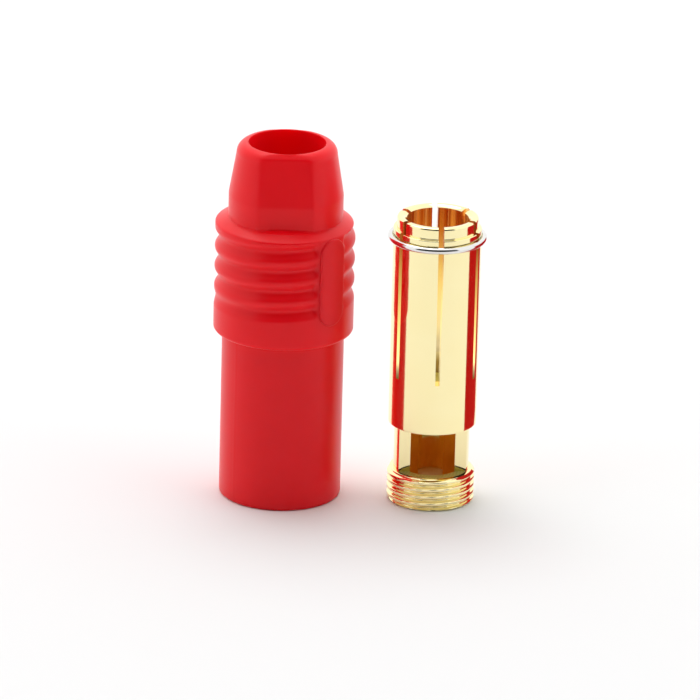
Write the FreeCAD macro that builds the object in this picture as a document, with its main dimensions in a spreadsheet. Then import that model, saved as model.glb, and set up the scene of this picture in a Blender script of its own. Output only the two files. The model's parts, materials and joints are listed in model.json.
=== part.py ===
import FreeCAD, Part
import math
import os
import re
import Sketcher

# The socket half of a high-current connector, taken apart. The moulded housing stands on its
# mating end. The turned contact, with its snap ring on, stands beside it on its threaded end.
# Lengths are in millimetres and angles in degrees.

doc = FreeCAD.newDocument("connector")
os.makedirs("parts", exist_ok=True)

SIZES = {
    # Contact across its axis: everything round it and over it builds on the bullet it takes
    "bullet_radius": 3.5,
    "bullet_play": 0.03,
    "finger_wall": 1.53,
    "barrel_edge": 0.12,
    "nose_step": 0.4,
    "nose_edge": 0.25,
    "socket_lead": 0.42,
    "lead_half_angle": 60.0,
    "neck_step": 0.735,
    "neck_relief": 0.705,
    "cup_wall": 1.125,
    "window_distance": 1.9,
    "thread_depth": 0.4,
    "thread_pitch": 0.86,
    "thread_lead": 0.3,
    # Contact along its axis, from the threaded end upwards
    "thread_length": 3.85,
    "neck_length": 5.55,
    "barrel_length": 23.56,
    "nose_length": 1.35,
    "cup_depth": 8.6,
    "drill_half_angle": 59.0,
    "web": 1.304,
    "slot_width": 0.55,
    "slot_root": 1.5,
    # Snap ring and its groove
    "ring_wire": 0.75,
    "ring_gap": 14.0,
    "ring_drop": 1.09,
    "groove_depth": 0.195,
    "groove_root_play": 0.06,
    "groove_side_play": 0.1,
    # Housing across its axis
    "ring_play": 0.225,
    "tube_wall": 1.1,
    "tube_foot_edge": 0.3,
    "mating_lead": 0.4,
    "collar_step": 1.03,
    "collar_edge": 0.35,
    "shoulder_bevel": 0.25,
    "thread_play": 0.05,
    "seat_step": 0.26,
    "rim_land": 0.08,
    "rim_round": 1.27,
    "taper_step": 0.8,
    # Housing along its axis, from the mating end upwards
    "tube_length": 19.9,
    "collar_length": 13.1,
    "shoulder_rise": 0.6,
    "boot_length": 2.7,
    "taper_length": 6.1,
    "seat_length": 4.2,
    "cable_bore_length": 7.8,
    # Spiral grip, a right-handed groove that fades at both ends
    "grip_pitch": 2.4,
    "grip_depth": 0.48,
    "grip_land": 0.2,
    "grip_crest_fall": 0.12,
    "grip_flank_width": 1.2,
    "grip_root_width": 0.3,
    "grip_lift": 0.02,
    "grip_drop": 0.76,
    "grip_turns": 3.25,
    "grip_fade_in": 0.17,
    "grip_fade_out": 0.45,
    # Wrench flats on the boot
    "flat_depth": 0.79,
    "flat_rim_depth": 0.97,
    # Raised plate for a mark
    "plate_angle": 43.5,
    "plate_width": 3.7,
    "plate_foot": 2.5,
    "plate_drop": 0.15,
    "plate_rise": 0.25,
    # Place of the contact beside the housing
    "contact_gap": 3.665,
    "contact_forward": 0.95,
    "contact_turn": 5.0,
}

# What follows from the sizes: each piece is fitted to the one inside it or below it
FITS = {
    "socket_radius": "bullet_radius + bullet_play",
    "barrel_radius": "socket_radius + finger_wall",
    "nose_radius": "barrel_radius - nose_step",
    "neck_radius": "barrel_radius - neck_step",
    "thread_radius": "neck_radius + neck_relief",
    "cup_radius": "neck_radius - cup_wall",
    "barrel_start": "thread_length + neck_length",
    "nose_start": "barrel_start + barrel_length",
    "contact_height": "nose_start + nose_length",
    "lead_radius": "socket_radius + socket_lead",
    "lead_bottom": "contact_height - socket_lead / tan(lead_half_angle)",
    "cup_tip": "cup_depth + cup_radius / tan(drill_half_angle)",
    "socket_tip": "cup_tip + web",
    "socket_bottom": "socket_tip + socket_radius / tan(drill_half_angle)",
    "slot_bottom": "socket_bottom + slot_root",
    "groove_radius": "barrel_radius - groove_depth",
    "ring_radius": "groove_radius + groove_root_play + ring_wire / 2",
    "ring_height": "nose_start - ring_drop",
    "groove_bottom": "ring_height - ring_wire / 2 * cos(15)",
    "groove_top": "ring_height + ring_wire / 2 + groove_side_play",
    "mating_radius": "ring_radius + ring_wire / 2 + ring_play",
    "tube_radius": "mating_radius + tube_wall",
    "collar_radius": "tube_radius + collar_step",
    "seat_radius": "thread_radius - thread_depth + thread_play",
    "cable_radius": "seat_radius - seat_step",
    "rim_radius": "cable_radius + rim_land",
    "rim_side_radius": "rim_radius + rim_round",
    "boot_radius": "rim_side_radius + taper_step",
    "shoulder_edge": "tube_length + collar_length",
    "shoulder_root": "shoulder_edge + shoulder_rise",
    "taper_start": "shoulder_root + boot_length",
    "housing_height": "taper_start + taper_length",
    "seat_top": "housing_height - cable_bore_length",
    "seat_bottom": "seat_top - seat_length",
    "grip_start": "shoulder_edge - grip_drop",
    "grip_end": "grip_start - grip_pitch * grip_turns",
    "flat_distance": "boot_radius - flat_depth",
    "flat_rim_distance": "rim_side_radius - flat_rim_depth",
    "plate_bottom": "tube_length + plate_foot",
    "plate_top": "shoulder_edge - plate_drop",
    "plate_distance": "collar_radius + plate_rise",
    "contact_across": "collar_radius + contact_gap + ring_radius + ring_wire / 2",
}


def sized(text):
    """The same expression with each size and fit named as it stands in its sheet."""
    def place(word):
        if word[0] in SIZES:
            return f"Sizes.{word[0]}"
        return f"Fits.{word[0]}" if word[0] in FITS else word[0]
    return re.sub(r"[a-z_]+", place, text)


def new_sheet(name, cells):
    sheet = doc.addObject("Spreadsheet::Sheet", name)
    for row, (word, value) in enumerate(cells.items(), start=1):
        sheet.set(f"A{row}", word)
        sheet.set(f"B{row}", value)
        sheet.setAlias(f"B{row}", word)
    doc.recompute()
    return sheet


sizes = new_sheet("Sizes", {word: str(value) for word, value in SIZES.items()})
new_sheet("Fits", {word: "=" + sized(rule).replace("Fits.", "") for word, rule in FITS.items()})


def number(text):
    return float(sizes.evalExpression(sized(text)))


def new_body(label):
    body = doc.addObject("PartDesign::Body", label)
    body.Label = label
    return body


def new_sketch(body, name, role):
    sketch = body.newObject("Sketcher::SketchObject", name)
    plane = [feature for feature in body.Origin.OriginFeatures if feature.Role == role][0]
    sketch.AttachmentSupport = [(plane, "")]
    sketch.MapMode = "FlatFace"
    return sketch


def hold(sketch, kind, place, text):
    """One driven constraint: its value is an expression on the sheet."""
    index = sketch.addConstraint(Sketcher.Constraint(kind, *place, number(text)))
    sketch.setExpression(f"Constraints[{index}]", sized(text))


def hold_point(sketch, geometry, end, across, up):
    if across == "0":
        sketch.addConstraint(Sketcher.Constraint("PointOnObject", geometry, end, -2))
    else:
        hold(sketch, "DistanceX", (-1, 1, geometry, end), across)
    if up == "0":
        sketch.addConstraint(Sketcher.Constraint("PointOnObject", geometry, end, -1))
    else:
        hold(sketch, "DistanceY", (-1, 1, geometry, end), up)


def draw_polygon(sketch, corners):
    """A closed outline whose corners are each held by a pair of expressions."""
    places = [FreeCAD.Vector(number(across), number(up), 0) for across, up in corners]
    count = len(places)
    for i in range(count):
        sketch.addGeometry(Part.LineSegment(places[i], places[(i + 1) % count]), False)
    for i in range(count):
        sketch.addConstraint(Sketcher.Constraint("Coincident", i, 2, (i + 1) % count, 1))
    for i, (across, up) in enumerate(corners):
        hold_point(sketch, i, 1, across, up)


def revolve(body, sketch, name, angle="360"):
    turned = body.newObject("PartDesign::Revolution", name)
    turned.Profile = sketch
    turned.ReferenceAxis = (sketch, ["V_Axis"])
    turned.setExpression("Angle", sized(angle))
    doc.recompute()
    return turned


def circle_edges(shape, radius, height):
    """Names of the round edges about the upright axis with this radius at this height."""
    names = []
    for i, edge in enumerate(shape.Edges, start=1):
        curve = edge.Curve
        if not isinstance(curve, Part.Circle):
            continue
        centre = curve.Center
        if abs(curve.Radius - radius) < 0.001 and abs(centre.z - height) < 0.001:
            names.append(f"Edge{i}")
    return names


def dress(body, base, kind, name, size, rings):
    """A fillet or chamfer on round edges, each named by its radius and height."""
    names = []
    for radius, height in rings:
        found = circle_edges(base.Shape, number(radius), number(height))
        if not found:
            raise RuntimeError(f"{name}: no edge at {radius}, {height}")
        names += found
    dressed = body.newObject(kind, name)
    dressed.Base = (base, names)
    dressed.setExpression("Radius" if kind.endswith("Fillet") else "Size", sized(size))
    doc.recompute()
    return dressed


def turn_sketch(sketch, angle, outward="0"):
    """Turn an upright sketch plane about the upright axis, then move it outwards."""
    turn = FreeCAD.Rotation(FreeCAD.Vector(0, 1, 0), number(angle))
    sketch.AttachmentOffset = FreeCAD.Placement(FreeCAD.Vector(0, 0, 0), turn)
    sketch.setExpression("AttachmentOffset.Rotation.Angle", sized(angle))
    sketch.setExpression("AttachmentOffset.Base.x", sized(f"({outward}) * sin({angle})"))
    sketch.setExpression("AttachmentOffset.Base.z", sized(f"({outward}) * cos({angle})"))
    doc.recompute()


def draw_slot(sketch, half, low, high):
    """An upright outline with straight sides and half-round ends."""
    side = number(half)
    bottom = FreeCAD.Vector(0, number(f"{low} + {half}"), 0)
    top = FreeCAD.Vector(0, number(f"{high} - {half}"), 0)
    up = FreeCAD.Vector(0, 0, 1)
    head = Part.ArcOfCircle(Part.Circle(top, up, side), 0, math.pi)
    tail = Part.ArcOfCircle(Part.Circle(bottom, up, side), math.pi, 2 * math.pi)
    sketch.addGeometry(head, False)
    sketch.addGeometry(Part.LineSegment(head.EndPoint, tail.StartPoint), False)
    sketch.addGeometry(tail, False)
    sketch.addGeometry(Part.LineSegment(tail.EndPoint, head.StartPoint), False)
    sketch.addConstraint(Sketcher.Constraint("Tangent", 0, 2, 1, 1))
    sketch.addConstraint(Sketcher.Constraint("Tangent", 1, 2, 2, 1))
    sketch.addConstraint(Sketcher.Constraint("Tangent", 2, 2, 3, 1))
    sketch.addConstraint(Sketcher.Constraint("Tangent", 3, 2, 0, 1))
    hold_point(sketch, 0, 3, "0", f"{high} - {half}")
    hold_point(sketch, 2, 3, "0", f"{low} + {half}")
    hold(sketch, "Radius", (0,), half)


def pocket(body, sketch, name, before, least, outward=False):
    """A straight cut, to both sides of the sketch or outwards from it."""
    cut = body.newObject("PartDesign::Pocket", name)
    cut.Profile = sketch
    cut.Type = "ThroughAll"
    cut.Midplane = not outward
    cut.Reversed = outward
    doc.recompute()
    must_cut(before, cut, least)
    return cut


def polar(body, feature, name, turn, count):
    around = body.newObject("PartDesign::PolarPattern", name)
    around.Originals = [feature]
    axis = [f for f in body.Origin.OriginFeatures if f.Role == "Z_Axis"][0]
    around.Axis = (axis, [""])
    around.Angle = turn
    around.Occurrences = count
    body.Tip = around
    doc.recompute()
    return around


def must_cut(before, after, least):
    """A cut that removes less than this volume has missed."""
    if before.Shape.Volume - after.Shape.Volume < least:
        raise RuntimeError(f"{after.Label} cut too little")


# Housing: one moulding, turned outline first
housing = new_body("housing")
outline = new_sketch(housing, "housing_outline", "XZ_Plane")
draw_polygon(outline, [
    ("mating_radius", "0"),
    ("tube_radius", "0"),
    ("tube_radius", "tube_length"),
    ("collar_radius", "tube_length"),
    ("collar_radius", "shoulder_edge"),
    ("boot_radius", "shoulder_root"),
    ("boot_radius", "taper_start"),
    ("rim_side_radius", "housing_height - rim_round"),
    ("rim_side_radius - rim_round * (1 - cos(30))", "housing_height - rim_round / 2"),
    ("rim_side_radius - rim_round / 2", "housing_height - rim_round * (1 - cos(30))"),
    ("rim_radius", "housing_height"),
    ("cable_radius", "housing_height"),
    ("cable_radius", "seat_top"),
    ("seat_radius", "seat_top"),
    ("seat_radius", "seat_bottom"),
    ("mating_radius", "seat_bottom"),
])
blank = revolve(housing, outline, "housing_blank")
foot = dress(housing, blank, "PartDesign::Chamfer", "foot_edge", "tube_foot_edge",
             [("tube_radius", "0")])
lead = dress(housing, foot, "PartDesign::Chamfer", "mating_lead_in", "mating_lead",
             [("mating_radius", "0")])
collar = dress(housing, lead, "PartDesign::Chamfer", "collar_foot", "collar_edge",
               [("collar_radius", "tube_length")])
shoulder = dress(housing, collar, "PartDesign::Chamfer", "shoulder_rim", "shoulder_bevel",
                 [("collar_radius", "shoulder_edge")])

# Housing: section of the spiral groove, with soft crests, steeper flanks and a narrow root
def draw_groove(sketch, height):
    edge = "(grip_pitch / 2 - grip_land)"
    draw_polygon(sketch, [
        ("collar_radius + 0.5", f"{height} - {edge}"),
        ("collar_radius + 0.5", f"{height} + {edge}"),
        ("collar_radius + grip_lift", f"{height} + {edge}"),
        ("collar_radius - grip_crest_fall", f"{height} + grip_flank_width / 2"),
        ("collar_radius - grip_depth", f"{height} + grip_root_width / 2"),
        ("collar_radius - grip_depth", f"{height} - grip_root_width / 2"),
        ("collar_radius - grip_crest_fall", f"{height} - grip_flank_width / 2"),
        ("collar_radius + grip_lift", f"{height} - {edge}"),
    ])


def wind(body, sketch, name, before, turns, growth, upward, pitch="grip_pitch"):
    """A groove wound about the upright axis; growth is how far it moves out in one turn."""
    groove = body.newObject("PartDesign::SubtractiveHelix", name)
    groove.Profile = sketch
    groove.ReferenceAxis = (sketch, ["V_Axis"])
    groove.Mode = "height-turns-growth"
    groove.setExpression("Height", sized(f"({pitch}) * ({turns})"))
    groove.setExpression("Turns", sized(turns))
    groove.setExpression("Growth", sized(growth))
    groove.Reversed = not upward
    doc.recompute()
    must_cut(before, groove, 0.05)
    return groove


start = new_sketch(housing, "grip_start_section", "XZ_Plane")
draw_groove(start, "grip_start")
main = wind(housing, start, "grip_groove", shoulder, "grip_turns", "0", False)
fade_in = wind(housing, start, "grip_fade_in", main, "grip_fade_in",
               "(grip_depth + 0.05) / grip_fade_in", True)
finish = new_sketch(housing, "grip_end_section", "XZ_Plane")
turn_sketch(finish, "-360 * grip_turns")
draw_groove(finish, "grip_end")
fade_out = wind(housing, finish, "grip_fade_out", fade_in, "grip_fade_out",
                "(grip_depth + 0.05) / grip_fade_out", False)

# Housing: raised plate on the collar, flat across its face and round at both ends
plate_outline = new_sketch(housing, "plate_outline", "XZ_Plane")
turn_sketch(plate_outline, "plate_angle", "tube_radius")
draw_slot(plate_outline, "plate_width / 2", "plate_bottom", "plate_top")
plate = housing.newObject("PartDesign::Pad", "plate")
plate.Profile = plate_outline
plate.setExpression("Length", sized("plate_distance - tube_radius"))
doc.recompute()
if plate.Shape.Volume - fade_out.Shape.Volume < 1.0:
    raise RuntimeError("the plate adds too little")

# Housing: two wrench flats on the boot, upright below and following the taper above
flat_outline = new_sketch(housing, "flat_outline", "YZ_Plane")
draw_polygon(flat_outline, [
    ("flat_distance", "shoulder_root"),
    ("flat_distance", "taper_start"),
    ("flat_rim_distance", "housing_height"),
    ("flat_rim_distance", "housing_height + 0.5"),
    ("boot_radius + 0.5", "housing_height + 0.5"),
    ("boot_radius + 0.5", "shoulder_root"),
])
flat = pocket(housing, flat_outline, "wrench_flat", plate, 2.0)
polar(housing, flat, "wrench_flats", 360, 2)

# Contact: one piece turned from bar, plated
contact = new_body("socket_contact")
turned = new_sketch(contact, "contact_outline", "XZ_Plane")
draw_polygon(turned, [
    ("cup_radius", "0"),
    ("thread_radius", "0"),
    ("thread_radius", "thread_length"),
    ("neck_radius", "thread_length"),
    ("neck_radius", "barrel_start"),
    ("barrel_radius", "barrel_start"),
    ("barrel_radius", "groove_bottom"),
    ("groove_radius", "groove_bottom"),
    ("groove_radius", "groove_top"),
    ("barrel_radius", "groove_top"),
    ("barrel_radius", "nose_start"),
    ("nose_radius", "nose_start"),
    ("nose_radius", "contact_height"),
    ("lead_radius", "contact_height"),
    ("socket_radius", "lead_bottom"),
    ("socket_radius", "socket_bottom"),
    ("0", "socket_tip"),
    ("0", "cup_tip"),
    ("cup_radius", "cup_depth"),
])
bar = revolve(contact, turned, "contact_blank")
ends = dress(contact, bar, "PartDesign::Chamfer", "thread_ends", "thread_lead",
             [("thread_radius", "0"), ("thread_radius", "thread_length")])
edges = dress(contact, ends, "PartDesign::Chamfer", "barrel_edges", "barrel_edge",
              [("barrel_radius", "barrel_start"), ("barrel_radius", "nose_start")])
nose = dress(contact, edges, "PartDesign::Chamfer", "nose_edges", "nose_edge",
             [("nose_radius", "contact_height")])

# Contact: fine thread at the foot, open at both ends
cutter = new_sketch(contact, "thread_section", "XZ_Plane")
draw_polygon(cutter, [
    ("thread_radius + 0.2", "0.1 * thread_pitch - thread_pitch"),
    ("thread_radius + 0.2", "-0.1 * thread_pitch"),
    ("thread_radius - thread_depth", "-0.5 * thread_pitch"),
])
thread = wind(contact, cutter, "foot_thread", nose, "thread_length / thread_pitch + 1.2", "0",
              True, pitch="thread_pitch")

# Contact: six saw cuts make the sprung fingers, each pass cutting two opposite
saw = new_sketch(contact, "slot_outline", "XZ_Plane")
draw_polygon(saw, [
    ("-slot_width / 2", "slot_bottom"),
    ("slot_width / 2", "slot_bottom"),
    ("slot_width / 2", "contact_height + 0.5"),
    ("-slot_width / 2", "contact_height + 0.5"),
])
slot = pocket(contact, saw, "slot", thread, 10.0)
slots = polar(contact, slot, "slots", 120, 3)

# Contact: solder window milled flat into the neck
mill = new_sketch(contact, "window_outline", "XZ_Plane")
turn_sketch(mill, "0", "window_distance")
draw_polygon(mill, [
    ("-barrel_radius", "thread_length"),
    ("barrel_radius", "thread_length"),
    ("barrel_radius", "barrel_start"),
    ("-barrel_radius", "barrel_start"),
])
pocket(contact, mill, "solder_window", slots, 10.0, outward=True)

# Snap ring: round spring wire, open at the back, resting on the low side of its groove
ring = new_body("snap_ring")
wire = new_sketch(ring, "wire_section", "XZ_Plane")
turn_sketch(wire, "-90")
corners = []
for i in range(12):
    corners.append((f"ring_radius + ring_wire / 2 * cos({30 * i + 15})",
                    f"ring_height + ring_wire / 2 * sin({30 * i + 15})"))
draw_polygon(wire, corners)
loop = revolve(ring, wire, "wire_loop", "360 - ring_gap")
loop.Midplane = True

# Places: the housing at the origin, the contact and its ring beside it
for piece in (contact, ring):
    piece.Placement.Rotation = FreeCAD.Rotation(FreeCAD.Vector(0, 0, 1), number("contact_turn"))
    piece.setExpression("Placement.Rotation.Angle", sized("contact_turn"))
    piece.setExpression("Placement.Base.x", sized("contact_across"))
    piece.setExpression("Placement.Base.y", sized("-contact_forward"))
doc.recompute()

for item in doc.Objects:
    if "Invalid" in item.State or "Error" in item.State:
        raise RuntimeError(f"{item.Label}: {item.State}")

for piece in (housing, contact, ring):
    if piece.Shape.isNull() or not piece.Shape.isValid() or len(piece.Shape.Solids) != 1:
        raise RuntimeError(f"{piece.Label} is not one sound solid")
    piece.Shape.exportStep(f"parts/{piece.Label}.step")
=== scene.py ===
import json
import math

import bmesh
import bpy
import numpy as np
from mathutils import Euler, Matrix, Vector

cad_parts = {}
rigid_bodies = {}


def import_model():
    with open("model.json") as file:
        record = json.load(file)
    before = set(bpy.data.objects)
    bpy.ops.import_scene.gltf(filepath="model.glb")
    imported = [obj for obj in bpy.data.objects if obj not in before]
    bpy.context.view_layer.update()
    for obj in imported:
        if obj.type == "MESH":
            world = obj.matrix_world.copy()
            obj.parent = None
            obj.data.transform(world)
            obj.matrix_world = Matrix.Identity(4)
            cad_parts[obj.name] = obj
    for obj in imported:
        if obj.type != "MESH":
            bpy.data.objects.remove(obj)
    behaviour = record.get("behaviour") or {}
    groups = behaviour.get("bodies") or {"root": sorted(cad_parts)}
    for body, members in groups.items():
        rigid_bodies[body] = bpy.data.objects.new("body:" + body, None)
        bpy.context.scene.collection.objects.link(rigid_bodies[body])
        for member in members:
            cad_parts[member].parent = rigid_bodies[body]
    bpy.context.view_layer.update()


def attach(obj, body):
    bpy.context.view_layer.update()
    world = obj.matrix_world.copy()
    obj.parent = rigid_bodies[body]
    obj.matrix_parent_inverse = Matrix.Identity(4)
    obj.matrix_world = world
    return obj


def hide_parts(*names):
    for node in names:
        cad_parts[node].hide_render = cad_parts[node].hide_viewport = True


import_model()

# Housing
# One moulding in red nylon: smooth mating tube, collar with a spiral grip that fades out at both
# ends, sloping shoulder, tapered boot with two wrench flats, and a round mouth for the cable.
MM = 0.001
TURN = 2 * math.pi
# points round each ring of the housing
HOUSING_COUNT = 360
around = np.arange(HOUSING_COUNT) / HOUSING_COUNT * TURN
# angle 0 faces -Y and grows towards +X
side_x, side_y = np.sin(around), -np.cos(around)

TUBE_RADIUS, BORE_RADIUS, COLLAR_RADIUS, CABLE_RADIUS = 7.0, 5.9, 8.03, 4.42
TUBE_TOP, SHOULDER_EDGE, SHOULDER_ROOT = 19.9, 33.0, 33.6
BOOT_RADIUS, TAPER_START, HEIGHT = 6.57, 36.3, 42.4
RIM_SIDE_RADIUS, RIM_RADIUS, RIM_START, RIM_ROUND = 5.77, 4.5, 41.13, 1.27
FLAT_DISTANCE, FLAT_RIM_DISTANCE, FLAT_TOP, FLAT_TOP_LEAN = 5.78, 4.8, 41.85, 0.7
FLAT_EDGE, FLAT_EDGE_GAIN, FLAT_EDGE_LOW, FLAT_EDGE_HIGH = 0.05, 0.07, 38.5, 41.8
GRIP_PITCH, GRIP_DEPTH, GRIP_TURNS, GRIP_NARROWING = 2.4, 0.47, 3.25, 1.2
GRIP_TOP, GRIP_TOP_TURN, GRIP_FADE_IN, GRIP_FADE_OUT = 32.24, 0.25, 0.17, 0.45
PLATE_ANGLE, PLATE_LOW, PLATE_CLEAR, PLATE_FADE = 43.5, 22.4, 12.6, 17.5


def ramp(x, a, b):
    """0 up to a, 1 from b, and a smooth rise between."""
    t = np.clip((x - a) / (b - a), 0, 1)
    return t * t * (3 - 2 * t)


def grip_relief(z):
    """How far the right-handed spiral groove sinks below the collar at height z, all the way round."""
    sunk = np.zeros(HOUSING_COUNT)
    for lap in range(-1, 6):
        # turns travelled down the groove from its deep upper end on the right side
        travel = (GRIP_TOP_TURN - around / TURN) % 1.0 + lap
        centre = GRIP_TOP - GRIP_PITCH * travel
        away = np.abs(z - centre) / (GRIP_PITCH / 2)
        strength = ramp(travel, -GRIP_FADE_IN, 0.0)
        strength = strength * (1 - ramp(travel, GRIP_TURNS, GRIP_TURNS + GRIP_FADE_OUT))
        shape = 0.5 + 0.5 * np.cos(np.pi * np.clip(away, 0, 1))
        sunk = np.maximum(sunk, strength * shape ** GRIP_NARROWING)
    # the groove runs out just before the name plate
    if PLATE_LOW - 0.4 < z < SHOULDER_EDGE:
        beside = np.abs(np.degrees(around) - PLATE_ANGLE)
        sunk = sunk * ramp(beside, PLATE_CLEAR, PLATE_FADE)
    return sunk * GRIP_DEPTH


def boot_radius(z):
    """Round boot with a wrench flat at the front and back, upright below and tapered above."""
    climb = max(z - TAPER_START, 0)
    if z < RIM_START:
        full = BOOT_RADIUS - (BOOT_RADIUS - RIM_SIDE_RADIUS) / (RIM_START - TAPER_START) * climb
    else:
        full = RIM_RADIUS + RIM_ROUND * math.sqrt(max(1 - ((z - RIM_START) / RIM_ROUND) ** 2, 0))
    flat = FLAT_DISTANCE - (FLAT_DISTANCE - FLAT_RIM_DISTANCE) / (HEIGHT - TAPER_START) * climb
    # above the flat the rim leans in more
    flat -= FLAT_TOP_LEAN * max(z - FLAT_TOP, 0)
    cut = np.minimum(flat / np.maximum(np.abs(side_y), 0.05), full + 2)
    # flat and round meet in a small rounding that widens towards the rim
    soft = FLAT_EDGE + FLAT_EDGE_GAIN * ramp(z, FLAT_EDGE_LOW, FLAT_EDGE_HIGH)
    return -soft * np.logaddexp(-full / soft, -cut / soft)


def round_ring(radius, z):
    return np.stack([side_x * radius, side_y * radius, np.full(HOUSING_COUNT, z)], 1)


def corner(ring, radius, z, size, start, end, steps):
    """Rings over an arc of this size, centred on (radius, z), between two angles in degrees."""
    angles = np.radians(np.linspace(start, end, steps))
    return [ring(radius + size * math.cos(a), z + size * math.sin(a)) for a in angles]


def skin_of_rings(name, rings, closed=True):
    """A mesh from rings of points, each ring the same count, joined round and from ring to ring."""
    rows, count = len(rings), len(rings[0])
    points = np.concatenate(rings) * MM
    faces = []
    for i in range(rows if closed else rows - 1):
        a, b = i * count, ((i + 1) % rows) * count
        for j in range(count):
            k = (j + 1) % count
            faces.append((a + j, a + k, b + k, b + j))
    mesh = bpy.data.meshes.new(name)
    mesh.from_pydata(points.tolist(), [], faces)
    mesh.update()
    piece = bpy.data.objects.new(name, mesh)
    bpy.context.scene.collection.objects.link(piece)
    return piece


def soften(piece, degrees):
    """Smooth shading, with an edge kept sharp where its faces meet at more than this angle."""
    for other in bpy.context.view_layer.objects:
        other.select_set(False)
    piece.select_set(True)
    bpy.context.view_layer.objects.active = piece
    bpy.ops.object.shade_smooth_by_angle(angle=math.radians(degrees))


# the two mould halves meet in a faint raised line up each side of the tube
SEAM_ANGLE, SEAM_WIDTH, SEAM_HEIGHT = -49, 1.1, 0.022
seam_away = (around - math.radians(SEAM_ANGLE)) % math.pi
seam_away = np.minimum(seam_away, math.pi - seam_away)
tube_seam = SEAM_HEIGHT * np.exp(-(seam_away / math.radians(SEAM_WIDTH)) ** 2)

# from the foot up the outside of the tube and the collar
FOOT_ROUND, STEP_ROUND, COLLAR_ROUND, SHOULDER_ROUND, SHOULDER_TURN = 0.35, 0.1, 0.4, 0.3, 64
rings = corner(round_ring, TUBE_RADIUS - FOOT_ROUND, FOOT_ROUND, FOOT_ROUND, -90, 0, 7)
rings.append(round_ring(TUBE_RADIUS + tube_seam / 2, 0.6))
for z in np.linspace(0.9, TUBE_TOP - 0.15, 6):
    rings.append(round_ring(TUBE_RADIUS + tube_seam, z))
rings += corner(round_ring, TUBE_RADIUS + STEP_ROUND, TUBE_TOP - STEP_ROUND, STEP_ROUND, 180, 90, 5)
rings += corner(round_ring, COLLAR_RADIUS - COLLAR_ROUND, TUBE_TOP + COLLAR_ROUND, COLLAR_ROUND, -90, 0, 8)
for z in np.linspace(TUBE_TOP + 0.5, SHOULDER_EDGE - SHOULDER_ROUND, 130):
    rings.append(round_ring(COLLAR_RADIUS - grip_relief(z), z))
for a in np.radians(np.linspace(10, SHOULDER_TURN, 9)):
    z = SHOULDER_EDGE - SHOULDER_ROUND + SHOULDER_ROUND * math.sin(a)
    edge = COLLAR_RADIUS - SHOULDER_ROUND + SHOULDER_ROUND * math.cos(a)
    rings.append(round_ring(edge - grip_relief(z), z))

# over the shoulder, up the boot and round the rim; the slope meets the boot in a small fillet
ROOT_FILLET, SLOPE_DROP = 0.06, 0.03
slope_start = COLLAR_RADIUS - SHOULDER_ROUND + SHOULDER_ROUND * math.cos(math.radians(SHOULDER_TURN))
slope_end = BOOT_RADIUS + ROOT_FILLET
for f in np.linspace(0.12, 1, 9):
    z = SHOULDER_EDGE - SLOPE_DROP + (SHOULDER_ROOT - SHOULDER_EDGE) * f
    slope = slope_start + (slope_end - slope_start) * f
    rings.append(round_ring(slope - grip_relief(z) * (1 - f), z))
boot_foot = boot_radius(SHOULDER_ROOT)
for f in np.linspace(0.08, 1, 8):
    z = SHOULDER_ROOT - SLOPE_DROP + 2 * ROOT_FILLET * f ** 3
    rings.append(round_ring(slope_end + (boot_foot - slope_end) * f, z))
for z in np.linspace(SHOULDER_ROOT + 0.15, RIM_START, 40):
    rings.append(round_ring(boot_radius(z), z))
MOUTH_ROUND, RIM_WALL = 0.1, 0.12
for z in RIM_START + RIM_ROUND * np.sin(np.radians(np.linspace(5, 88, 20))):
    rings.append(round_ring(np.maximum(boot_radius(z), CABLE_RADIUS + RIM_WALL), z))

# down through the mouth, the thread's seat and the mating bore, with a lead-in at its end
SEAT_RADIUS, SEAT_LOW, SEAT_HIGH, EASE, LEAD_IN = 4.68, 30.4, 34.6, 0.04, 0.42
rings += corner(round_ring, CABLE_RADIUS + MOUTH_ROUND, HEIGHT - MOUTH_ROUND, MOUTH_ROUND, 90, 180, 5)
for z in np.linspace(HEIGHT - 0.4, SEAT_HIGH + 0.1, 4):
    rings.append(round_ring(CABLE_RADIUS, z))
for radius, z in ((CABLE_RADIUS, SEAT_HIGH + EASE / 2), (SEAT_RADIUS - EASE / 2, SEAT_HIGH),
                  (SEAT_RADIUS, SEAT_HIGH - EASE), (SEAT_RADIUS, SEAT_LOW + EASE),
                  (SEAT_RADIUS + EASE, SEAT_LOW), (BORE_RADIUS - EASE, SEAT_LOW),
                  (BORE_RADIUS, SEAT_LOW - EASE)):
    rings.append(round_ring(radius, z))
for z in np.linspace(SEAT_LOW - 0.4, LEAD_IN + 0.03, 6):
    rings.append(round_ring(BORE_RADIUS, z))
rings.append(round_ring(BORE_RADIUS + 0.04, LEAD_IN - 0.06))
rings.append(round_ring(BORE_RADIUS + LEAD_IN - 0.06, 0.03))
rings.append(round_ring(BORE_RADIUS + LEAD_IN, 0.0))
housing = skin_of_rings("housing_skin", rings)
soften(housing, 50)

# the name plate: a bare raised pad with round ends on the collar's right front
PLATE_HALF, PLATE_HIGH, PLATE_FACE, PLATE_EDGE, PLATE_COUNT = 1.85, 32.85, 8.24, 0.16, 120


def plate_ring(inset, distance):
    """The pad's outline drawn in by the inset, at this distance from the housing's axis."""
    reach = PLATE_HALF - inset
    along = np.arange(PLATE_COUNT) / PLATE_COUNT * TURN
    across = reach * np.cos(along)
    up = reach * np.sin(along) + np.where(along < math.pi, PLATE_HIGH - PLATE_HALF, PLATE_LOW + PLATE_HALF)
    # the pad follows the collar's curve
    angle = math.radians(PLATE_ANGLE) + across / PLATE_FACE
    return np.stack([distance * np.sin(angle), -distance * np.cos(angle), up], 1)


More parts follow.
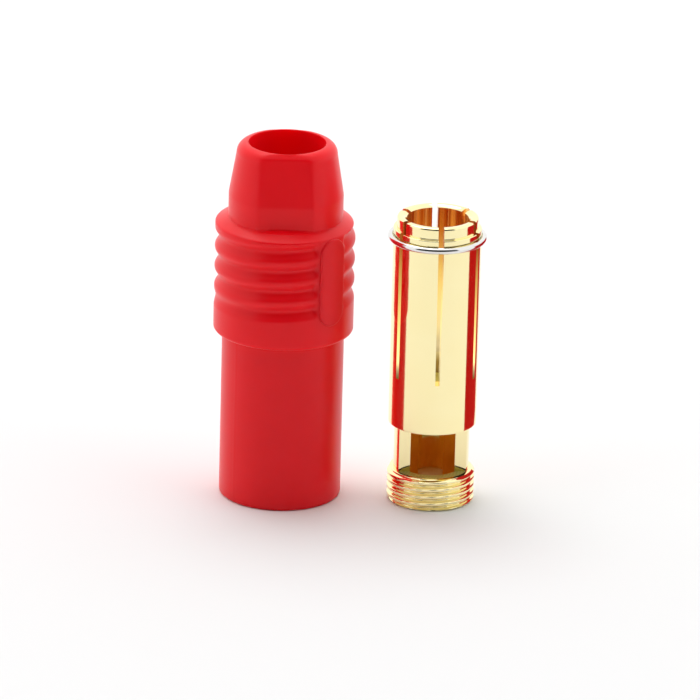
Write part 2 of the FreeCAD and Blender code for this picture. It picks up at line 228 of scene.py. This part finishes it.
def close_ends(piece):
    """Fills the two open end rings and turns all faces outwards."""
    shut = bmesh.new()
    shut.from_mesh(piece.data)
    bmesh.ops.holes_fill(shut, edges=[e for e in shut.edges if e.is_boundary], sides=0)
    bmesh.ops.recalc_face_normals(shut, faces=shut.faces)
    shut.to_mesh(piece.data)
    shut.free()


# the pad is rooted inside the housing's wall
PLATE_ROOT = 6.6
pads = []
for distance in (PLATE_ROOT, PLATE_ROOT + 0.6, PLATE_FACE - PLATE_EDGE - 0.02):
    pads.append(plate_ring(0, distance))
for a in np.radians(np.linspace(0, 90, 7)):
    pads.append(plate_ring(PLATE_EDGE * (1 - math.cos(a)), PLATE_FACE - PLATE_EDGE * (1 - math.sin(a))))
pads.append(plate_ring(PLATE_EDGE + 0.3, PLATE_FACE))
plate = skin_of_rings("name_plate", pads, closed=False)
close_ends(plate)
soften(plate, 40)


def new_finish(name):
    """A material to build up, its shader, and the coordinates on the piece."""
    finish = bpy.data.materials.new(name)
    finish.use_nodes = True
    nodes = finish.node_tree.nodes
    return finish, nodes["Principled BSDF"], nodes.new("ShaderNodeTexCoord").outputs["Object"]


def clouds(finish, place, scale, detail):
    """An uneven amount from 0 to 1 over the piece."""
    noise = finish.node_tree.nodes.new("ShaderNodeTexNoise")
    noise.inputs["Scale"].default_value = scale
    noise.inputs["Detail"].default_value = detail
    finish.node_tree.links.new(place, noise.inputs["Vector"])
    return noise.outputs["Fac"]


def tint_by(finish, amount, low, high, start=0.0, end=1.0):
    """A colour between two, by the amount, with the change kept between start and end."""
    tint = finish.node_tree.nodes.new("ShaderNodeValToRGB")
    first, last = tint.color_ramp.elements
    first.position, last.position = start, end
    first.color, last.color = (*low, 1), (*high, 1)
    finish.node_tree.links.new(amount, tint.inputs["Fac"])
    return tint.outputs["Color"]


def range_by(finish, amount, low, high):
    """A value between two, by the amount."""
    spread = finish.node_tree.nodes.new("ShaderNodeMapRange")
    spread.inputs["To Min"].default_value, spread.inputs["To Max"].default_value = low, high
    finish.node_tree.links.new(amount, spread.inputs["Value"])
    return spread.outputs["Result"]


def fine_relief(finish, shader, amount, strength):
    """Marks of a hundredth of a millimetre at most."""
    bump = finish.node_tree.nodes.new("ShaderNodeBump")
    bump.inputs["Strength"].default_value = strength
    bump.inputs["Distance"].default_value = 0.01 * MM
    finish.node_tree.links.new(amount, bump.inputs["Height"])
    finish.node_tree.links.new(bump.outputs["Normal"], shader.inputs["Normal"])


# satin nylon: colour a little uneven from the flow, gloss uneven from the mould, a very fine grain
red, shader, place = new_finish("red_nylon")
wires = red.node_tree.links
flow = clouds(red, place, 130, 3)
wires.new(tint_by(red, flow, (0.885, 0.0024, 0.0085), (0.945, 0.0030, 0.0105), 0.3, 0.7),
          shader.inputs["Base Color"])
wires.new(range_by(red, flow, 0.27, 0.37), shader.inputs["Roughness"])
fine_relief(red, shader, clouds(red, place, 9000, 2), 0.10)
shader.inputs["Specular IOR Level"].default_value = 0.24
# a little red light passes through the thin walls
shader.inputs["Subsurface Weight"].default_value = 0.5
shader.inputs["Subsurface Scale"].default_value = 2.5 * MM
shader.inputs["Subsurface Radius"].default_value = (1.0, 0.06, 0.05)
for piece in (housing, plate):
    piece.data.materials.append(red)
    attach(piece, "root")
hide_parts("housing")

# Contact
# Turned from brass bar in one piece and gold plated: fine thread and solder cup at the foot, a neck
# with a milled window, and a bored barrel that three passes of a saw split into six sprung fingers.
CONTACT_COUNT = 216
CONTACT_X, CONTACT_Y, CONTACT_TURN = 17.37, -0.95, 5
contact_place = Matrix.Translation((CONTACT_X * MM, CONTACT_Y * MM, 0))
contact_place = contact_place @ Matrix.Rotation(math.radians(CONTACT_TURN), 4, "Z")
THREAD_RADIUS, THREAD_DEPTH, THREAD_LENGTH, THREAD_PITCH = 5.03, 0.4, 3.85, 0.86
THREAD_END_RADIUS, THREAD_END_EDGE, THREAD_END_FACE = 4.73, 0.3, 4.6
BARREL_START, NOSE_START, CONTACT_HEIGHT = 9.4, 32.96, 34.31
BARREL_RADIUS, NECK_RADIUS, NOSE_RADIUS, SOCKET_RADIUS, CUP_RADIUS = 5.06, 4.325, 4.66, 3.53, 3.2
GROOVE_RADIUS, GROOVE_LOW, GROOVE_HIGH = 4.865, 31.51, 32.345
SOCKET_END, SOCKET_POINT, CUP_POINT, CUP_END, POINT_RADIUS = 14.0, 11.84, 10.51, 8.6, 0.02
contact_around = np.arange(CONTACT_COUNT) / CONTACT_COUNT * TURN


def contact_ring(radius, z):
    return np.stack([np.sin(contact_around) * radius, -np.cos(contact_around) * radius,
                     np.full(CONTACT_COUNT, float(z))], 1)


def thread_radius(z):
    lap = (z / THREAD_PITCH - contact_around / TURN) % 1.0
    away = np.abs(lap - 0.5) * 2
    return THREAD_RADIUS - THREAD_DEPTH * (1 - ramp(away, 0.05, 0.78))


# the thread, with its first and last turns bevelled, and the neck
rings = [contact_ring(CUP_RADIUS + 0.05, 0.0), contact_ring(THREAD_END_FACE, 0.0)]
for z in np.linspace(0.03, THREAD_LENGTH - 0.03, 80):
    edge = THREAD_END_RADIUS + min(z, THREAD_LENGTH - z, THREAD_END_EDGE)
    rings.append(contact_ring(np.minimum(thread_radius(z), edge), z))
rings.append(contact_ring(THREAD_END_FACE, THREAD_LENGTH))
rings.append(contact_ring(NECK_RADIUS + 0.02, THREAD_LENGTH))
for z in np.linspace(THREAD_LENGTH + 0.02, BARREL_START - 0.02, 12):
    rings.append(contact_ring(NECK_RADIUS, z))
rings.append(contact_ring(NECK_RADIUS + 0.035, BARREL_START))
rings.append(contact_ring(4.9, BARREL_START))

# the barrel with the snap ring's groove, and the nose
BARREL_FOOT_ROUND, BARREL_TOP_ROUND, NOSE_ROUND, LIP = 0.12, 0.1, 0.25, 0.02
rings += corner(contact_ring, BARREL_RADIUS - BARREL_FOOT_ROUND, BARREL_START + BARREL_FOOT_ROUND,
                BARREL_FOOT_ROUND, -90, 0, 5)
for z in np.linspace(BARREL_START + 0.2, GROOVE_LOW - 0.05, 40):
    rings.append(contact_ring(BARREL_RADIUS, z))
for radius, z in ((BARREL_RADIUS, GROOVE_LOW - LIP), (BARREL_RADIUS - LIP, GROOVE_LOW),
                  (GROOVE_RADIUS + LIP, GROOVE_LOW), (GROOVE_RADIUS, GROOVE_LOW + LIP),
                  (GROOVE_RADIUS, GROOVE_HIGH - LIP), (GROOVE_RADIUS + LIP, GROOVE_HIGH),
                  (BARREL_RADIUS - LIP, GROOVE_HIGH), (BARREL_RADIUS, GROOVE_HIGH + LIP)):
    rings.append(contact_ring(radius, z))
for z in np.linspace(GROOVE_HIGH + 0.06, NOSE_START - 0.13, 3):
    rings.append(contact_ring(BARREL_RADIUS, z))
rings += corner(contact_ring, BARREL_RADIUS - BARREL_TOP_ROUND, NOSE_START - BARREL_TOP_ROUND,
                BARREL_TOP_ROUND, 0, 90, 5)
rings.append(contact_ring(NOSE_RADIUS + 0.03, NOSE_START))
rings.append(contact_ring(NOSE_RADIUS, NOSE_START + 0.03))
for z in np.linspace(NOSE_START + 0.2, CONTACT_HEIGHT - 0.27, 5):
    rings.append(contact_ring(NOSE_RADIUS, z))
rings += corner(contact_ring, NOSE_RADIUS - NOSE_ROUND, CONTACT_HEIGHT - NOSE_ROUND, NOSE_ROUND, 10, 90, 6)

# the lead into the bore, the bore down to its drilled point, and the cup below it
LEAD_WIDTH, LEAD_DEPTH = 0.44, 0.25
rings.append(contact_ring(SOCKET_RADIUS + LEAD_WIDTH, CONTACT_HEIGHT))
rings.append(contact_ring(SOCKET_RADIUS + LEAD_WIDTH - 0.03, CONTACT_HEIGHT - 0.012))
rings.append(contact_ring(SOCKET_RADIUS + 0.01, CONTACT_HEIGHT - LEAD_DEPTH + 0.015))
for z in np.linspace(CONTACT_HEIGHT - LEAD_DEPTH, SOCKET_END, 30):
    rings.append(contact_ring(SOCKET_RADIUS, z))
for radius, z in ((SOCKET_RADIUS - 0.03, SOCKET_END - 0.07), (POINT_RADIUS, SOCKET_POINT),
                  (POINT_RADIUS, CUP_POINT), (CUP_RADIUS - 0.03, CUP_END + 0.02),
                  (CUP_RADIUS, CUP_END - 0.02)):
    rings.append(contact_ring(radius, z))
for z in np.linspace(CUP_END - 0.2, 0.06, 14):
    rings.append(contact_ring(CUP_RADIUS, z))
contact = skin_of_rings("contact_skin", rings)


def cutter_box(name, low, high):
    mesh = bpy.data.meshes.new(name)
    box = bmesh.new()
    bmesh.ops.create_cube(box, size=1)
    for v in box.verts:
        v.co = Vector([(a + b) / 2 + c * (b - a) for a, b, c in zip(low, high, v.co)]) * MM
    box.to_mesh(mesh)
    box.free()
    piece = bpy.data.objects.new(name, mesh)
    bpy.context.scene.collection.objects.link(piece)
    return piece


# each pass of the saw goes through two opposite walls and is a little wider at the mouth
SAW_LOW, SAW_TOP, SAW_HALF_LOW, SAW_HALF_HIGH, SAW_REACH = 15.45, 36, 0.25, 0.34, 8
cutters = []
for turn in (0, 60, 120):
    saw = cutter_box("saw", (-1, -SAW_REACH, SAW_LOW), (1, SAW_REACH, SAW_TOP))
    for v in saw.data.vertices:
        v.co.x *= SAW_HALF_LOW if v.co.z < 20 * MM else SAW_HALF_HIGH
    saw.data.transform(Matrix.Rotation(math.radians(turn), 4, "Z"))
    cutters.append(saw)
# the window is milled from the front down to this distance from the axis
WINDOW_DISTANCE, MILL_HALF, MILL_REACH = 1.9, 6, 8
cutters.append(cutter_box("mill", (-MILL_HALF, -MILL_REACH, THREAD_LENGTH),
                          (MILL_HALF, -WINDOW_DISTANCE, BARREL_START)))
for cutter in cutters:
    cut = contact.modifiers.new("cut", "BOOLEAN")
    cut.operation = "DIFFERENCE"
    cut.solver = "EXACT"
    cut.object = cutter
graph = bpy.context.evaluated_depsgraph_get()
finished = bpy.data.meshes.new_from_object(contact.evaluated_get(graph))
contact.modifiers.clear()
contact.data = finished
for cutter in cutters:
    bpy.data.objects.remove(cutter)
contact.data.transform(contact_place)
soften(contact, 28)


def stretched(finish, place, scale):
    """The coordinates on the piece, stretched so that clouds become rings or streaks."""
    squash = finish.node_tree.nodes.new("ShaderNodeMapping")
    squash.inputs["Scale"].default_value = scale
    finish.node_tree.links.new(place, squash.inputs["Vector"])
    return squash.outputs["Vector"]


# bright plating over turning marks: fine rings round the axis, barely felt in the gloss
gold, shader, place = new_finish("gold_plating")
wires = gold.node_tree.links
fine_relief(gold, shader, clouds(gold, stretched(gold, place, (30, 30, 6000)), 1, 2), 0.02)
polish = clouds(gold, place, 260, 3)
wires.new(range_by(gold, polish, 0.05, 0.12), shader.inputs["Roughness"])
wires.new(tint_by(gold, polish, (0.99, 0.87, 0.48), (1.0, 0.89, 0.51), 0.3, 0.7),
          shader.inputs["Base Color"])
shader.inputs["Metallic"].default_value = 1


def between_heights(finish, place, start, end):
    """An amount that goes from 0 to 1 between two heights in millimetres."""
    parts = finish.node_tree.nodes.new("ShaderNodeSeparateXYZ")
    finish.node_tree.links.new(place, parts.inputs["Vector"])
    rise = finish.node_tree.nodes.new("ShaderNodeMapRange")
    rise.inputs["From Min"].default_value, rise.inputs["From Max"].default_value = start * MM, end * MM
    finish.node_tree.links.new(parts.outputs["Z"], rise.inputs["Value"])
    return rise.outputs["Result"]


def blend(finish, amount, first, second):
    """One colour passing into the other by the amount."""
    mix = finish.node_tree.nodes.new("ShaderNodeMix")
    mix.data_type = "RGBA"
    # a mix node's sockets 6 and 7 are its two colours, and its output 2 is the blended one
    for source, socket in ((amount, 0), (first, 6), (second, 7)):
        finish.node_tree.links.new(source, mix.inputs[socket])
    return mix.outputs[2]


# down the bore and in the saw cuts the plating is thin and streaky from the tools; the streaks also carry
# painted bright reflections
bore, shader, place = new_finish("bore_plating_painted_glow")
wires = bore.node_tree.links
tool_streaks_and_painted_glints = clouds(bore, stretched(bore, place, (1100, 1100, 12)), 1, 2)
# colour by height is painted light: a painted coppery glow near the mouth, a pale painted reflection band
# further down, and painted shade, dull, at the bottom
PAINTED_COPPER_END, PAINTED_BAND_START = 31.6, 26.5
painted_depth = between_heights(bore, place, PAINTED_COPPER_END, PAINTED_BAND_START)
# painted reflection and shade: the pale stop is a painted bright band on the bore's wall, the dark stops
# painted shade
painted_reflection_and_shade = bore.node_tree.nodes.new("ShaderNodeValToRGB")
painted_reflection_and_shade.color_ramp.elements[0].color = (0.66, 0.52, 0.20, 1)
painted_reflection_and_shade.color_ramp.elements[1].color = (0.26, 0.17, 0.05, 1)
painted_reflection_and_shade.color_ramp.elements.new(0.74).color = (0.97, 0.88, 0.56, 1)
painted_reflection_and_shade.color_ramp.elements.new(0.89).color = (0.30, 0.20, 0.06, 1)
wires.new(between_heights(bore, place, PAINTED_BAND_START, SOCKET_END), painted_reflection_and_shade.inputs["Fac"])
painted_copper = tint_by(bore, tool_streaks_and_painted_glints, (0.62, 0.20, 0.03), (0.97, 0.64, 0.24), 0.42, 0.62)
wires.new(blend(bore, painted_depth, painted_copper, painted_reflection_and_shade.outputs["Color"]), shader.inputs["Base Color"])
shader.inputs["Metallic"].default_value = 0.82
shader.inputs["Roughness"].default_value = 0.09
# painted glow: an emission stands in for light that bounces down the bore between its walls, brightest in
# the pale painted reflection band
painted_glow = tint_by(bore, tool_streaks_and_painted_glints, (0.019, 0.0014, 0.0), (0.295, 0.124, 0.019), 0.45, 0.64)
wires.new(blend(bore, painted_depth, painted_glow, painted_reflection_and_shade.outputs["Color"]), shader.inputs["Emission Color"])
shader.inputs["Emission Strength"].default_value = 0.42

# the cup is drilled rough for the solder and looks brown, with a weak emission as a painted glow in it
cup, shader, place = new_finish("cup_plating_painted_glow")
wires = cup.node_tree.links
wires.new(tint_by(cup, clouds(cup, place, 700, 3), (0.80, 0.36, 0.020), (0.88, 0.42, 0.035), 0.3, 0.7),
          shader.inputs["Base Color"])
shader.inputs["Metallic"].default_value = 0.22
shader.inputs["Roughness"].default_value = 0.3
# painted glow: a weak emission stands in for light caught in the cup
shader.inputs["Emission Color"].default_value = (0.85, 0.27, 0.01, 1)
shader.inputs["Emission Strength"].default_value = 0.05

# the end of the milling cutter leaves the window's floor matt, with fine swirls
milled, shader, place = new_finish("milled_plating")
wires = milled.node_tree.links
swirl = milled.node_tree.nodes.new("ShaderNodeTexWave")
swirl.wave_type = "RINGS"
swirl.rings_direction = "Z"
swirl.inputs["Scale"].default_value = 900
swirl.inputs["Distortion"].default_value = 2
wires.new(place, swirl.inputs["Vector"])
wires.new(tint_by(milled, swirl.outputs["Fac"], (0.60, 0.55, 0.14), (0.68, 0.63, 0.19)),
          shader.inputs["Base Color"])
shader.inputs["Metallic"].default_value = 0.4
shader.inputs["Roughness"].default_value = 0.4

# each face takes its finish from where it lies on the contact
contact.data.materials.clear()
for finish in (gold, bore, cup, milled):
    contact.data.materials.append(finish)
NEAR, BETWEEN_BORES, WINDOW_FLOOR_RADIUS = 0.01, 11, 4.0
for face in contact.data.polygons:
    out = Vector((face.center.x / MM - CONTACT_X, face.center.y / MM - CONTACT_Y))
    facing = face.normal.xy.dot(out.normalized()) if out.length > NEAR else 0
    height = face.center.z / MM
    level, upright = face.normal.z > 0.9, abs(face.normal.z) < 0.5
    within_bore = height > BETWEEN_BORES and out.length < SOCKET_RADIUS + NEAR
    in_slot = height > SAW_LOW - NEAR and out.length < BARREL_RADIUS - NEAR \
        and abs(facing) < 0.3 and upright
    # the cup's wall looks inwards, and the window's back wall and floor are none of it
    in_cup = height < BETWEEN_BORES and out.length < CUP_RADIUS + NEAR and facing < 0.2 \
        and face.normal.y > -0.9 and not level
    on_window_floor = level and abs(height - THREAD_LENGTH) < NEAR and out.length < WINDOW_FLOOR_RADIUS
    # the saw cuts' faces and the bore's walls take the finish with painted glow, painted reflection and
    # painted shade
    if in_slot or within_bore and height > SOCKET_END - 0.03:
        face.material_index = 1
    elif in_cup:
        face.material_index = 2
    # the drill's point leaves the bottom of the bore matt too
    elif within_bore or on_window_floor:
        face.material_index = 3
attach(contact, "root")
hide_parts("socket_contact")

# Snap ring
# Round spring wire bent to a ring, open at the back, in the groove below the contact's nose.
RING_COUNT, RING_RADIUS, RING_HEIGHT, WIRE_RADIUS, RING_HALF_GAP = 28, 5.3, 31.87, 0.375, 7
section = np.arange(RING_COUNT) / RING_COUNT * TURN
rings = []
# turn 0 is at the back
for turn in np.radians(np.linspace(RING_HALF_GAP, 360 - RING_HALF_GAP, 160)):
    reach = RING_RADIUS + WIRE_RADIUS * np.cos(section)
    rings.append(np.stack([math.sin(turn) * reach, math.cos(turn) * reach,
                           RING_HEIGHT + WIRE_RADIUS * np.sin(section)], 1))
ring = skin_of_rings("ring_wire", rings, closed=False)
close_ends(ring)
ring.data.transform(contact_place)
soften(ring, 40)

# bright drawn wire, a little uneven in tone and gloss
steel, shader, place = new_finish("bright_wire")
wires = steel.node_tree.links
drawn = clouds(steel, place, 900, 3)
wires.new(tint_by(steel, drawn, (0.74, 0.73, 0.71), (0.86, 0.85, 0.83)), shader.inputs["Base Color"])
wires.new(range_by(steel, drawn, 0.08, 0.18), shader.inputs["Roughness"])
shader.inputs["Metallic"].default_value = 1
ring.data.materials.append(steel)
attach(ring, "root")
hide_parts("snap_ring")

# Stage
# White table in an evenly lit white room, a dark curtain behind the camera, and a red card to the
# right, out of view, that the bright plating mirrors. Sizes here are in metres.
TABLE_HALF = 3
CURTAIN_HALF, CURTAIN_DISTANCE = 1.6, 1.4
CURTAIN_TOP_HALF, CURTAIN_TOP_DISTANCE, CURTAIN_HEIGHT = 1.4, 1.1, 1.9
CARD_X, CARD_NEAR, CARD_FAR, CARD_HEIGHT = 0.037, -0.0035, 0.024, 0.036


def flat_card(name, corners, colour, roughness):
    mesh = bpy.data.meshes.new(name)
    mesh.from_pydata(corners, [], [(0, 1, 2, 3)])
    card = bpy.data.objects.new(name, mesh)
    bpy.context.scene.collection.objects.link(card)
    finish = bpy.data.materials.new(name)
    finish.use_nodes = True
    shader = finish.node_tree.nodes["Principled BSDF"]
    shader.inputs["Base Color"].default_value = (*colour, 1)
    shader.inputs["Roughness"].default_value = roughness
    shader.inputs["Specular IOR Level"].default_value = 0.1
    mesh.materials.append(finish)
    return card


flat_card("table", [(-TABLE_HALF, -TABLE_HALF, 0), (TABLE_HALF, -TABLE_HALF, 0),
                    (TABLE_HALF, TABLE_HALF, 0), (-TABLE_HALF, TABLE_HALF, 0)], (0.885, 0.885, 0.885), 0.8)
flat_card("curtain", [(-CURTAIN_HALF, -CURTAIN_DISTANCE, 0), (CURTAIN_HALF, -CURTAIN_DISTANCE, 0),
                      (CURTAIN_TOP_HALF, -CURTAIN_TOP_DISTANCE, CURTAIN_HEIGHT),
                      (-CURTAIN_TOP_HALF, -CURTAIN_TOP_DISTANCE, CURTAIN_HEIGHT)], (0.02, 0.02, 0.02), 0.9)
red_card = flat_card("red_card", [(CARD_X, CARD_NEAR, 0), (CARD_X, CARD_FAR, 0),
                                  (CARD_X, CARD_FAR, CARD_HEIGHT), (CARD_X, CARD_NEAR, CARD_HEIGHT)],
                     (0.52, 0.004, 0.007), 0.5)
red_card.visible_camera = red_card.visible_diffuse = red_card.visible_shadow = False

world = bpy.data.worlds.new("room")
bpy.context.scene.world = world
world.use_nodes = True
world.node_tree.nodes["Background"].inputs["Color"].default_value = (1, 1, 1, 1)
world.node_tree.nodes["Background"].inputs["Strength"].default_value = 1.12

soft_box = bpy.data.lights.new("soft_box", "AREA")
soft_box.shape = "DISK"
soft_box.size = 0.6
soft_box.energy = 2.4
lamp = bpy.data.objects.new("soft_box", soft_box)
lamp.location = (-0.12, 0.30, 0.85)
lamp.rotation_euler = (-lamp.location).to_track_quat("-Z", "Y").to_euler()
bpy.context.scene.collection.objects.link(lamp)

# Camera
# Far off with a long lens, looking down at the photograph's angle and a little rolled.
DISTANCE, SENSOR = 1.0, 36
RAISED, ROLL = math.radians(20.1), math.radians(1.5)
# pixels of the 700 wide picture to each millimetre at the object
PIXELS_PER_MM, PICTURE_WIDTH = 8.714, 700
camera_data = bpy.data.cameras.new("camera")
camera = bpy.data.objects.new("camera", camera_data)
bpy.context.scene.collection.objects.link(camera)
bpy.context.scene.camera = camera
look = Vector((0, math.cos(RAISED), -math.sin(RAISED)))
target = Vector((7.73, 0, 17.39)) * MM
camera.location = target - look * DISTANCE
tilt = Euler((math.pi / 2 - RAISED, 0, 0)).to_matrix()
camera.rotation_euler = (tilt @ Matrix.Rotation(ROLL, 3, "Z")).to_euler()
camera_data.sensor_width = SENSOR
camera_data.lens = PIXELS_PER_MM * SENSOR / PICTURE_WIDTH / MM * DISTANCE
camera_data.clip_start, camera_data.clip_end = 0.01, 10
bpy.context.scene.view_settings.view_transform = "Standard"
